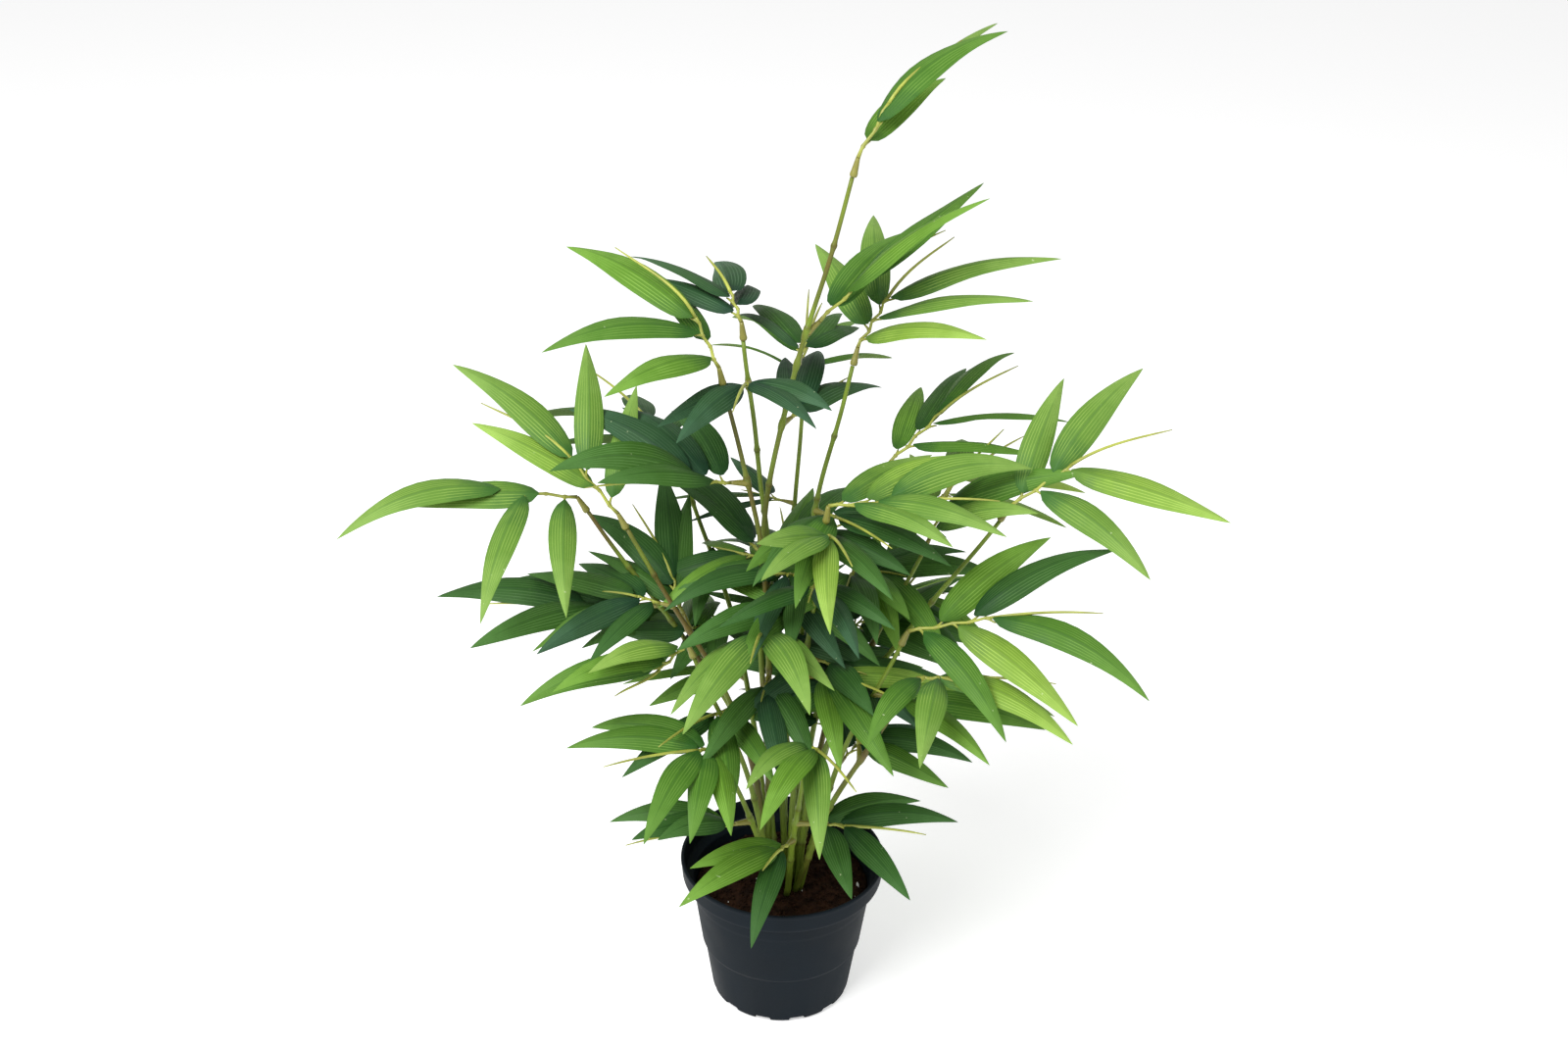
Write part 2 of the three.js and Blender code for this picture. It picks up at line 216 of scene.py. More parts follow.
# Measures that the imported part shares.
POT_FLOOR_MM = 7
SOIL_LEVEL_MM = 82
GAP_MM = 0.35  # clearance between neighbouring pieces
COLLAR_MM = 11
NECK_MM = 1.5  # slope from the collar down to the stalk
SPIKE_MM = 62
SPIKE_RISE = 0.5  # rise of the end spike, as a share of its stalk's
LEAF_ARCH = 0.085  # droop of a level leaf, as a share of its length
LEAF_TURN_OUT = 0.7  # how much a leaf's face turns to the front or the back
LEAF_WOBBLE = 0.35  # chance turn of a leaf's face
BACK_STARTS_MM = 15  # leaves behind this depth begin to turn to the back
BACK_ENDS_MM = 95
LEVEL_STARTS_MM = 400  # leaves above this height begin to lie level
LEVEL_ENDS_MM = 470
FAN_CLOSING = 0.5  # how far a fan has closed at its last leaf
FAN_SHORTEST = 0.82  # a fan's first leaf, as a share of its last one's length

# Canes at the outside of the crown, which carry no filler twigs.
OUTER_CANES = ("tall", "left_far", "right_far", "left_front", "right_front", "left_low", "front_low")
FILLER_SEED = 5000  # chance values of the filler twigs start here, past those of the table
GOLDEN_TURN = 137.5  # degrees from one filler twig to the next
STEEP = 0.8  # a limb that rises more than this share of its length is upright
LEAF_STRIPES = 5.5  # pale stripes on each half of a leaf
WEAVE_SCALE = 2600


# ------------------------------------------------------------------ sizes and colours


def distance(name, description, default_mm):
    """A setting that holds a distance."""
    return bpy.props.FloatProperty(
        name=name, description=description, default=default_mm * MM,
        subtype="DISTANCE", unit="LENGTH")


def tint(name, description, *default):
    """A setting that holds a colour, whose default is given as 0 to 255 on a screen."""
    return bpy.props.FloatVectorProperty(
        name=name, description=description, size=3, subtype="COLOR",
        default=srgb(*default), min=0, max=1)


class PotSettings(bpy.types.PropertyGroup):
    """Sizes and colour of the nursery pot."""

    wall: distance("Wall", "Thickness of the moulded wall", 1.6)
    rim_band: distance("Rim Band", "Height of the thick band at the mouth", 13.5)
    notches: bpy.props.IntProperty(
        name="Notches", description="Drainage notches round the foot", default=12)
    colour: tint("Plastic", "Colour of the pot's plastic", 20, 27, 33)


class SoilSettings(bpy.types.PropertyGroup):
    """Sizes and colours of the filling."""

    crumbs: bpy.props.IntProperty(
        name="Crumbs", description="Loose crumbs of peat on the filling", default=1500)
    grains: bpy.props.IntProperty(
        name="White Grains", description="Grains of perlite on the filling", default=13)
    crumb_size: distance("Crumb Size", "Width of a middling crumb", 1.9)
    colour: tint("Peat", "Colour of the damp peat", 42, 25, 16)


class CaneSettings(bpy.types.PropertyGroup):
    """Sizes and colours of canes and twigs."""

    foot_radius: distance("Foot Radius", "Radius of a cane where it leaves the filling", 2.1)
    tip_radius: distance("Tip Radius", "Radius of a cane at its tip", 1.25)
    joint_spacing: distance("Joint Spacing", "Distance between the joints of a cane", 46)
    green: tint("Green", "Green plastic coating", 114, 136, 44)
    brown: tint("Brown", "Brown stretches of the coating", 100, 86, 40)
    twig: tint("Twig", "Yellow-green plastic of the twigs", 166, 174, 72)


class LeafSettings(bpy.types.PropertyGroup):
    """Sizes and base colours of the leaves."""

    width: distance("Width", "Widest part of a leaf", 20.5)
    thickness: distance("Thickness", "Thickness of the fabric", 0.4)
    petiole: distance("Petiole", "Bare stalk between the twig and the blade", 4.2)
    fillers: bpy.props.IntProperty(
        name="Filler Twigs", description="Chance twigs that fill the inside of the crown",
        default=33)
    seed: bpy.props.IntProperty(
        name="Seed", description="Chooses the chance twigs and leaf turns", default=7)
    # These base colours are partly the leaves' own greens and partly painted light and shade: lighter
    # for lit sprays, darker for sprays in shade inside the crown.
    fresh: tint("Fresh", "Lightest leaves", 112, 151, 54)
    mid: tint("Mid", "Middle green leaves", 84, 128, 38)
    deep: tint("Deep", "Dark green leaves", 53, 94, 33)
    slate: tint("Slate", "Blue-green leaves", 50, 86, 46)


class StageSettings(bpy.types.PropertyGroup):
    """Floor, light and camera."""

    key_power: bpy.props.FloatProperty(
        name="Key Light", description="Power of the main soft light", default=53.0)
    fill_power: bpy.props.FloatProperty(
        name="Fill Light", description="Power of the fill light", default=7.0)
    sky: bpy.props.FloatProperty(
        name="Sky", description="Strength of the pale surroundings", default=0.45)
    floor: bpy.props.FloatVectorProperty(
        name="Floor", description="Colour of the floor", size=3,
        subtype="COLOR", default=(0.93, 0.93, 0.93), min=0, max=1)


# ------------------------------------------------------------------ directions and chances


def unit(vector):
    return vector / np.linalg.norm(vector)


def heading(turn, rise):
    turn, rise = math.radians(turn), math.radians(rise)
    return np.array((math.cos(turn) * math.cos(rise), math.sin(turn) * math.cos(rise), math.sin(rise)))


def across(direction, reference):
    """The part of reference square to direction, at unit length."""
    return unit(reference - np.dot(reference, direction) * direction)


def chance(seed):
    """A repeatable chance value between -1 and 1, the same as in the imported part's source."""
    value = math.sin(seed * 12.9898) * 43758.5453
    return (value - math.floor(value)) * 2 - 1


def smoothstep(value, low, high):
    share = min(max((value - low) / (high - low), 0), 1)
    return share * share * (3 - 2 * share)


# ------------------------------------------------------------------ cane routes


class Route:
    """A cane's centre line: a centripetal curve through its foot, middle and tip."""

    STEPS = 100

    def __init__(self, row):
        foot = np.array((*row["foot"], SOIL_LEVEL_MM + GAP_MM), float)
        middle = np.array(row["middle"], float)
        tip = np.array(row["tip"], float)
        knots = [2 * foot - middle, foot, middle, tip, 2 * tip - middle]
        points = [self._span(*knots[i:i + 4], step / self.STEPS)
                  for i in (0, 1) for step in range(self.STEPS)]
        self.points = np.array([*points, tip]) * MM
        lengths = np.linalg.norm(np.diff(self.points, axis=0), axis=1)
        self.reach = np.concatenate(([0], np.cumsum(lengths)))
        self.length = self.reach[-1]

    @staticmethod
    def _span(before, start, end, after, share):
        gaps = [math.sqrt(np.linalg.norm(b - a))
                for a, b in ((before, start), (start, end), (end, after))]
        leave = ((start - before) / gaps[0] - (end - before) / (gaps[0] + gaps[1])
                 + (end - start) / gaps[1]) * gaps[1]
        arrive = ((end - start) / gaps[1] - (after - start) / (gaps[1] + gaps[2])
                  + (after - end) / gaps[2]) * gaps[1]
        square, cube = share * share, share ** 3
        return (start * (2 * cube - 3 * square + 1) + leave * (cube - 2 * square + share)
                + end * (3 * square - 2 * cube) + arrive * (cube - square))

    def at(self, place):
        """The point at a share of the cane's length."""
        reach = place * self.length
        return np.array([np.interp(reach, self.reach, self.points[:, k]) for k in range(3)])

    def towards(self, place):
        """The direction of growth at a share of the cane's length."""
        step = 0.005
        return unit(self.at(min(place + step, 1)) - self.at(max(place - step, 0)))


# ------------------------------------------------------------------ joined meshes


class Batch:
    """Many small shapes gathered into one mesh, with values on their points and corners."""

    def __init__(self):
        self.points, self.faces, self.slots = [], [], []
        self.values, self.corners, self.sharp = {}, [], []
        self.count = 0

    def add(self, points, faces, slots=None, corners=None, sharp=None, **values):
        points = np.asarray(points, float).reshape(-1, 3)
        self.points.append(points)
        self.faces.extend((np.asarray(face) + self.count).tolist() for face in faces)
        self.slots.extend(slots if slots is not None else [0] * len(faces))
        if corners is not None:
            self.corners.append(corners)
        self.sharp.append(np.zeros(len(points), bool) if sharp is None else sharp)
        for name, value in values.items():
            full = np.broadcast_to(np.asarray(value, float), (len(points),))
            self.values.setdefault(name, []).append(full)
        self.count += len(points)

    def build(self, name, materials):
        """The object of all shapes added, smooth but for the edges between sharp points."""
        mesh = bpy.data.meshes.new(name)
        mesh.from_pydata(np.concatenate(self.points), [], self.faces)
        mesh.polygons.foreach_set("material_index", self.slots)
        for value_name, parts in self.values.items():
            layer = mesh.attributes.new(value_name, "FLOAT", "POINT")
            layer.data.foreach_set("value", np.concatenate(parts).astype(np.float32))
        if self.corners:
            layer = mesh.uv_layers.new(name="OFBake")
            layer.uv.foreach_set("vector", np.concatenate(self.corners).astype(np.float32).ravel())
        mesh.shade_smooth()
        rim = np.concatenate(self.sharp)
        ends = np.empty(len(mesh.edges) * 2, np.int32)
        mesh.edges.foreach_get("vertices", ends)
        hard = rim[ends.reshape(-1, 2)].all(1)
        layer = mesh.attributes.new("sharp_edge", "BOOLEAN", "EDGE")
        layer.data.foreach_set("value", hard)
        for material in materials:
            mesh.materials.append(material)
        return place_in_scene(bpy.data.objects.new(name, mesh))


def place_in_scene(piece):
    bpy.context.scene.collection.objects.link(piece)
    return piece


def seat(piece, slot, *nodes):
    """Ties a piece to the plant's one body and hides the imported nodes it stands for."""
    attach(piece, "root")
    if nodes:
        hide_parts(*nodes)
    return piece


def tube(points, radii, sides):
    """Points and faces of a closed round limb through points, with a radius at each."""
    points, radii = np.asarray(points, float), np.asarray(radii, float)
    tangents = np.gradient(points, axis=0)
    tangents /= np.linalg.norm(tangents, axis=1)[:, None]
    main = unit(points[-1] - points[0])
    reference = np.array((1.0, 0, 0)) if abs(main[2]) > STEEP else UP
    angles = np.arange(sides) * 2 * math.pi / sides
    rings = []
    for point, tangent, radius in zip(points, tangents, radii):
        side = across(tangent, reference)
        other = np.cross(tangent, side)
        around = np.cos(angles)[:, None] * side + np.sin(angles)[:, None] * other
        rings.append(point + radius * around)
    last = len(points) - 1
    faces = [[r * sides + k, r * sides + (k + 1) % sides,
              (r + 1) * sides + (k + 1) % sides, (r + 1) * sides + k]
             for r in range(last) for k in range(sides)]
    faces.append(list(range(sides))[::-1])
    faces.append([last * sides + k for k in range(sides)])
    return np.concatenate(rings), faces


# ------------------------------------------------------------------ procedural finishes


class Finish:
    """A procedural material in the making: its nodes are added and joined by short calls."""

    def __init__(self, name, roughness, specular=0.5):
        self.material = bpy.data.materials.new(name)
        self.material.use_nodes = True
        self.tree = self.material.node_tree
        self.shader = self.tree.nodes["Principled BSDF"]
        self.shader.inputs["Roughness"].default_value = roughness
        self.shader.inputs["Specular IOR Level"].default_value = specular

    def node(self, kind, **settings):
        made = self.tree.nodes.new(kind)
        for key, value in settings.items():
            setattr(made, key, value)
        return made

    def feed(self, socket, value):
        if isinstance(value, bpy.types.NodeSocket):
            self.tree.links.new(value, socket)
        else:
            socket.default_value = value

    def value(self, name):
        return self.node("ShaderNodeAttribute", attribute_name=name).outputs["Fac"]

    def maths(self, operation, first, second=0.0, clamp=False):
        made = self.node("ShaderNodeMath", operation=operation, use_clamp=clamp)
        self.feed(made.inputs[0], first)
        self.feed(made.inputs[1], second)
        return made.outputs[0]

    def times(self, first, second):
        return self.maths("MULTIPLY", first, second)

    def spread(self, value, low, high, to_low=0.0, to_high=1.0):
        made = self.node("ShaderNodeMapRange", interpolation_type="SMOOTHSTEP")
        for socket, given in zip(made.inputs, (value, low, high, to_low, to_high)):
            self.feed(socket, given)
        return made.outputs["Result"]

    def mix(self, share, first, second, blend="MIX"):
        made = self.node("ShaderNodeMix", data_type="RGBA", blend_type=blend)
        self.feed(made.inputs["Factor"], share)
        self.feed(made.inputs[6], first)
        self.feed(made.inputs[7], second)
        return made.outputs[2]

    def noise(self, scale, detail=2.0, stretch=None):
        place = self.node("ShaderNodeTexCoord").outputs["Object"]
        if stretch:
            mapping = self.node("ShaderNodeMapping")
            self.tree.links.new(place, mapping.inputs["Vector"])
            mapping.inputs["Scale"].default_value = stretch
            place = mapping.outputs["Vector"]
        made = self.node("ShaderNodeTexNoise")
        self.tree.links.new(place, made.inputs["Vector"])
        made.inputs["Scale"].default_value = scale
        made.inputs["Detail"].default_value = detail
        return made.outputs["Fac"]

    def bump(self, height, distance, strength=1.0):
        made = self.node("ShaderNodeBump")
        made.inputs["Distance"].default_value = distance
        made.inputs["Strength"].default_value = strength
        self.feed(made.inputs["Height"], height)
        self.tree.links.new(made.outputs["Normal"], self.shader.inputs["Normal"])

    def colour(self, socket):
        self.tree.links.new(socket, self.shader.inputs["Base Color"])

    def roughness(self, socket):
        self.tree.links.new(socket, self.shader.inputs["Roughness"])


def paint(colour, share=1.0):
    """A colour as four numbers, darkened or lightened by a share."""
    return (*[min(channel * share, 1) for channel in colour[:3]], 1)


def shift(colour, *shares, pale=0.0):
    """A colour whose channels are each taken times a share, made paler by an even amount."""
    return tuple(channel * share + pale for channel, share in zip(colour, shares))


def leaf_finish(name, base):
    """Printed fabric: dark at the stalk, light and yellow at the tip, with fine pale stripes."""
    finish = Finish(name, 0.5, 0.17)
    along, side, tone = finish.value("along"), finish.value("across"), finish.value("tone")
    root = shift(base, 0.3, 0.47, 0.75)
    tip = shift(base, 1.85, 1.58, 2.6)
    stripe = shift(base, 2.8, 2.1, 3.2, pale=0.03)
    cloud = finish.noise(95, 3)
    wander = finish.times(finish.maths("SUBTRACT", cloud, 0.5), 0.5)
    drift = finish.maths("ADD", along, wander)
    lower = finish.mix(finish.spread(drift, -0.05, 0.42), paint(root), paint(base))
    whole = finish.mix(finish.spread(drift, 0.42, 1.0), lower, paint(tip))
    edge = finish.maths("ABSOLUTE", side)
    wave = finish.maths("COSINE", finish.times(side, 2 * math.pi * LEAF_STRIPES))
    lines = finish.maths("POWER", finish.maths("MAXIMUM", wave, 0.0), 2.8)
    patchy = finish.spread(finish.noise(42, 2), 0.32, 0.62, 0.4, 1.0)
    fade = finish.times(finish.spread(edge, 0.96, 0.8), finish.spread(along, 0.02, 0.2))
    seen = finish.times(finish.times(lines, fade), patchy)
    lined = finish.mix(finish.times(seen, 0.8), whole, paint(stripe))
    rib_length = finish.spread(along, 0.95, 0.6, 0.0, 0.5)
    rib = finish.times(finish.spread(edge, 0.08, 0.02), rib_length)
    ribbed = finish.mix(rib, lined, paint(root, 0.7))
    warm = shift(base, 1.45, 1.12, 0.9)
    turned = finish.mix(finish.times(tone, 0.3), ribbed, paint(warm))
    shaded = finish.mix(finish.spread(tone, 0.45, 0.0, 0.0, 0.4), turned, paint(root, 0.9))
    speck = finish.spread(finish.noise(330, 1), 0.77, 0.79)
    glint = finish.times(speck, finish.spread(along, 0.3, 0.7))
    finish.colour(finish.mix(finish.times(glint, 0.4), shaded, (0.62, 0.7, 0.42, 1)))
    finish.roughness(finish.spread(cloud, 0.3, 0.7, 0.44, 0.58))
    weave = finish.noise(WEAVE_SCALE, 1)
    finish.bump(finish.maths("ADD", finish.times(lines, 0.9), weave), 0.00014, 0.6)
    return finish.material


def underside_finish(name, base):
    """The leaf's unprinted back: paler, greyer and duller."""
    finish = Finish(name, 0.62, 0.17)
    pale = (base[0] * 0.95 + 0.035, base[1] * 0.8 + 0.042, base[2] * 0.9 + 0.009, 1)
    along, side = finish.value("along"), finish.value("across")
    cloud = finish.noise(110, 3)
    dull = finish.mix(cloud, paint(pale, 0.82), paint(pale, 1.12))
    rib = finish.spread(finish.maths("ABSOLUTE", side), 0.1, 0.03)
    ribbed = finish.mix(finish.times(rib, 0.45), dull, paint(pale, 1.5))
    finish.colour(finish.mix(finish.spread(along, 0.55, 1.0, 0.0, 0.5), ribbed, paint(pale, 1.3)))
    finish.roughness(finish.spread(cloud, 0.3, 0.7, 0.56, 0.7))
    finish.bump(finish.noise(WEAVE_SCALE, 1), 0.0001, 0.4)
    return finish.material


def cane_finish(name, green, brown):
    """Coated wire: green with brown stretches, ringed at its joints."""
    finish = Finish(name, 0.42, 0.3)
    patches = finish.noise(30, 2, (1, 1, 0.35))
    streaks = finish.noise(160, 3, (1, 1, 0.12))
    tint = finish.maths("ADD", patches, finish.times(finish.value("tint"), 0.22))
    ground = finish.mix(finish.spread(tint, 0.58, 0.76), paint(green), paint(brown))
    streaked = finish.mix(finish.spread(streaks, 0.4, 0.7, 0.0, 0.55), ground, paint(green, 0.5))
    ringed = finish.mix(finish.times(finish.value("ring"), 0.5), streaked, paint(brown, 0.62))
    finish.colour(ringed)
    finish.roughness(finish.spread(streaks, 0.3, 0.7, 0.34, 0.52))
    finish.bump(streaks, 0.0003, 0.5)
    return finish.material


def twig_finish(name, twig, brown):
    """Soft moulded plastic: yellow-green, brownish on the collars, pale on the spikes."""
    finish = Finish(name, 0.4, 0.5)
    patches = finish.noise(60, 3)
    ground = finish.mix(finish.spread(patches, 0.4, 0.68), paint(twig, 0.8), paint(twig, 1.12))
    tanned = finish.mix(finish.times(finish.value("tan"), 0.75), ground, paint(brown, 1.1))
    finish.colour(tanned)
    finish.roughness(finish.spread(patches, 0.3, 0.7, 0.34, 0.48))
    finish.bump(finish.noise(700, 2), 0.0002, 0.35)
    return finish.material


def pot_finish(name, colour):
    """Blow-moulded plastic: satin slate grey with soft clouding and fine scuffs."""
    finish = Finish(name, 0.55, 0.07)
    cloud = finish.noise(22, 4)
    fine = finish.noise(900, 2)
    ground = finish.mix(finish.spread(cloud, 0.3, 0.7), paint(colour, 0.86), paint(colour, 1.16))
    scuffs = finish.spread(finish.noise(260, 5, (1, 1, 0.25)), 0.66, 0.78)
    finish.colour(finish.mix(finish.times(scuffs, 0.16), ground, paint(colour, 1.8)))
    finish.roughness(finish.spread(cloud, 0.3, 0.7, 0.5, 0.64))
    finish.bump(fine, 0.00012, 0.5)
    return finish.material


def peat_finish(name, colour):
    """Damp peat: dark red-brown with lighter fibres."""
    finish = Finish(name, 0.9, 0.1)
    lumps = finish.noise(190, 6)
    fibres = finish.noise(520, 3, (1, 0.3, 1))
    ground = finish.mix(finish.spread(lumps, 0.32, 0.68), paint(colour, 0.45), paint(colour, 1.5))
    finish.colour(finish.mix(finish.spread(fibres, 0.62, 0.74, 0.0, 0.4), ground, paint(colour, 2.6)))
    finish.roughness(finish.spread(lumps, 0.3, 0.7, 0.82, 0.97))
    finish.bump(lumps, 0.0012, 0.8)
    return finish.material


def grain_finish(name):
    """Perlite: chalky off-white."""
    finish = Finish(name, 0.85, 0.3)
    pits = finish.noise(900, 3)
    finish.colour(finish.mix(pits, (0.5, 0.5, 0.48, 1), (0.86, 0.86, 0.84, 1)))
    finish.bump(pits, 0.0004, 0.6)
    return finish.material


def floor_finish(name, colour):
    """Matt white studio floor."""
    finish = Finish(name, 0.9, 0.1)
    finish.colour(finish.mix(finish.noise(0.6, 2), paint(colour, 0.995), paint(colour)))
    finish.shader.inputs["Emission Color"].default_value = (1, 1, 1, 1)
    finish.shader.inputs["Emission Strength"].default_value = FLOOR_GLOW
    return finish.material


# ------------------------------------------------------------------ sprays


def fan(count, turn, rise, spread, tilt, size):
    """Headings, rises and lengths of a fan's leaves, which stand off by turns, left and right."""
    rows = []
    for i in range(count):
        step = i / (count - 1)
        opening = (-1 if i % 2 else 1) * (1 - FAN_CLOSING * step)
        length = size * (FAN_SHORTEST + (1 - FAN_SHORTEST) * step)
        rows.append((turn + spread * opening, rise + tilt * opening, length))
    return rows


class Leaf:
    """One leaf's base, direction and chances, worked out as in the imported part."""

    def __init__(self, base, row, seed, shade):
        turn, rise, length = row
        self.base, self.seed, self.shade = base, seed, shade
        self.length = length * MM
        self.chord = heading(turn, rise)
        self.lift = across(self.chord, UP)
        depth = base[1] / MM + self.chord[1] * length / 2
        to_back = smoothstep(depth, BACK_STARTS_MM, BACK_ENDS_MM)
        height = base[2] / MM + self.chord[2] * length / 2
        turn_out = LEAF_TURN_OUT * (1 - smoothstep(height, LEVEL_STARTS_MM, LEVEL_ENDS_MM))
        facing = np.array((0, turn_out * (2 * to_back - 1), 1))
        facing = facing + LEAF_WOBBLE * chance(seed) * np.cross(self.chord, UP)
        self.face = across(self.chord, facing)
        self.side = np.cross(self.face, self.chord)
        self.arch = LEAF_ARCH * self.length * math.cos(math.radians(rise))


class Spray:
    """A plug-on twig: collar, stalk, leaves by turns and an end spike."""

    def __init__(self, route, row, seed, scale=1.0):
        self.shade, place, (turn, rise, length, *trimmed), opening = row
        spike = trimmed[0] if trimmed else SPIKE_MM
        leaves = fan(*opening)
        self.ahead = ahead = heading(turn, rise)
        side_on = place < 1
        lead = ahead if side_on else route.towards(1)
        self.start = route.at(place) + lead * (0 if side_on else GAP_MM * MM)
        self.elbow = self.start + lead * COLLAR_MM * MM * scale
        self.end = self.elbow + ahead * (length - COLLAR_MM * scale) * MM
        self.neck = self.elbow + ahead * NECK_MM * MM
        self.tip = self.end + heading(turn, rise * SPIKE_RISE) * spike * MM * scale
        self.scale = scale
        self.leaves = []
        for i, leaf in enumerate(leaves):
            node = self.neck + (self.end - self.neck) * (i + 0.5) / len(leaves)
            self.leaves.append(Leaf(node, leaf, seed + i, self.shade))


def planned_sprays(routes):
    """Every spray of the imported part, with the name of the node it stands for."""
    found, seed = {}, 0
    for name, row in CANES.items():
        for i, spray in enumerate(row["sprays"]):
            seed += 10
            found[f"leaves_{name}_{i + 1}"] = Spray(routes[name], spray, seed)
    return found


def filler_sprays(routes, settings):
    """Chance twigs from the canes' middles: small sprays that fill the inside of the crown."""
    draw = random.Random(settings.seed)
    names = [name for name in CANES if name not in OUTER_CANES]
    found = []
    for number in range(settings.fillers):
        name = names[number % len(names)]
        place = draw.uniform(0.42, 0.86)
        turn = number * GOLDEN_TURN + draw.uniform(-20, 20)
        stalk = (turn, draw.uniform(-5, 25), draw.uniform(15, 24), 26)
        opening = (draw.choice((3, 3, 4)), turn, draw.uniform(-22, 4), draw.uniform(30, 62),
                   draw.uniform(-10, 10), draw.uniform(66, 84))
        # Mostly deep: partly the leaves' own dark green, partly painted shade for the inside of the
        # crown.
        row = (draw.choice(("deep", "deep", "slate", "mid")), place, stalk, opening)
        found.append(Spray(routes[name], row, FILLER_SEED + 10 * number, 0.8))
    return found


# ------------------------------------------------------------------ leaves

LEAF_STEPS = 15
LEAF_COLUMNS = 12
ARCH_PLAY = 0.4  # chance change of a leaf's droop, as a share of it
BEND_PLAY = 0.035  # chance bend to one side, as a share of the length
TWIST_DEG = 20
FOLD_DEG = 15
FOLD_PLAY_DEG = 6
PLEAT_DEPTH = 0.011  # ridges along the blade, as a share of its half-width
BLADE_LIFT_MM = 1.2
USUAL_LENGTH_MM = 88  # longer leaves are a little wider, shorter ones narrower


def leaf_grid():
    """Faces and corner places of a leaf's two sides, which share the points of its outline."""
    wide = LEAF_COLUMNS + 1
    top = np.arange((LEAF_STEPS + 1) * wide).reshape(LEAF_STEPS + 1, wide)
    back = top.copy()
    inner = (LEAF_STEPS - 1) * (wide - 2)
    back[1:-1, 1:-1] = top.size + np.arange(inner).reshape(LEAF_STEPS - 1, wide - 2)
    outline = np.ones(top.size + inner, bool)
    outline[top[1:-1, 1:-1].ravel()] = False
    outline[top.size:] = False
    faces, corners = [], []
    for grid, turned in ((top, False), (back, True)):
        for i in range(LEAF_STEPS):
            for j in range(LEAF_COLUMNS):
                ring = [(i, j), (i + 1, j), (i + 1, j + 1), (i, j + 1)]
                ring = ring[::-1] if turned else ring
                faces.append([grid[r, c] for r, c in ring])
                corners.append([(c / LEAF_COLUMNS, r / LEAF_STEPS) for r, c in ring])
    half = LEAF_STEPS * LEAF_COLUMNS
    slots = [0] * half + [1] * half
    return np.array(faces), np.array(corners), slots, outline


def leaf_width(share):
    """Half-width along the blade: a round base, widest at a third, a long fine tip."""
    return np.sin(math.pi * share ** 0.62) ** 0.8


def leaf_points(leaf, settings):
    """The two sides of a folded, drooping, slightly twisted blade."""
    seed = leaf.seed
    steps = np.linspace(0, 1, LEAF_STEPS + 1)
    steps = 0.6 * steps + 0.4 * (1 - np.cos(math.pi * steps)) / 2
    start = settings.petiole / leaf.length
    share = (start + (1 - start) * steps)[:, None]
    bow = share * (1 - share) * 4
    arch = leaf.arch * (1 + ARCH_PLAY * chance(seed + 0.31))
    bend = BEND_PLAY * chance(seed + 0.57) * leaf.length
    spine = leaf.base + leaf.chord * leaf.length * share
    spine = spine + leaf.lift * arch * bow + leaf.side * bend * bow
    ahead = np.gradient(spine, axis=0)
    ahead /= np.linalg.norm(ahead, axis=1)[:, None]
    side = leaf.side - (ahead @ leaf.side)[:, None] * ahead
    side /= np.linalg.norm(side, axis=1)[:, None]
    face = np.cross(ahead, side)
    twist = (math.radians(TWIST_DEG) * chance(seed + 0.77) * (steps - 0.25))[:, None]
    cosine, sine = np.cos(twist), np.sin(twist)
    side, face = side * cosine + face * sine, face * cosine - side * sine
    width = settings.width * (0.94 + 0.07 * chance(seed + 0.13))
    width *= min(max(leaf.length / (USUAL_LENGTH_MM * MM), 0.84), 1.05)
    half = np.maximum(width / 2 * leaf_width(np.clip(steps, 1e-6, 1 - 1e-6)), 0.12 * MM)
    half[0] = 0.8 * MM
    fold = math.radians(FOLD_DEG + FOLD_PLAY_DEG * chance(seed + 0.91))
    fold = fold * (1.25 - 0.5 * np.sin(math.pi * steps))
    u = np.linspace(-1, 1, LEAF_COLUMNS + 1)
    half, fold = half[:, None], fold[:, None]
    phase = 2 * math.pi * (1.6 * steps[:, None] + chance(seed + 0.43))
    ripple = 0.05 * np.sin(phase + 2 * np.sign(u)) * u ** 2
    pleat = np.where(np.arange(LEAF_COLUMNS + 1) % 2, 1, -1) * PLEAT_DEPTH * (1 - u ** 4)
    curl = 0.09 + 0.07 * chance(seed + 0.67)
    height = half * (-np.abs(u) * np.sin(fold) - curl * u ** 2 + ripple + pleat) + BLADE_LIFT_MM * MM
    outward = side[:, None] * (u * half * np.cos(fold))[..., None]
    sheet = spine[:, None] + outward + face[:, None] * height[..., None]
    thick = np.zeros_like(height)
    thick[1:-1, 1:-1] = np.minimum(settings.thickness / 2, half[1:-1] * 0.3)
    top = sheet + face[:, None] * thick[..., None]
    back = (sheet - face[:, None] * thick[..., None])[1:-1, 1:-1]
    along = np.broadcast_to(steps[:, None], height.shape)
    side_on = np.broadcast_to(u, height.shape)
    return (np.concatenate([top.reshape(-1, 3), back.reshape(-1, 3)]),
            np.concatenate([along.ravel(), along[1:-1, 1:-1].ravel()]),
            np.concatenate([side_on.ravel(), side_on[1:-1, 1:-1].ravel()]))


def dealt_shade(leaf):
    """A leaf keeps its spray's shade, but for a few that take the next one."""
    order = ["fresh", "mid", "deep", "slate"]
    draw = chance(leaf.seed + 0.19)
    step = -1 if draw < -0.8 else 1 if draw > 0.76 else 0
    return order[min(max(order.index(leaf.shade) + step, 0), 3)]


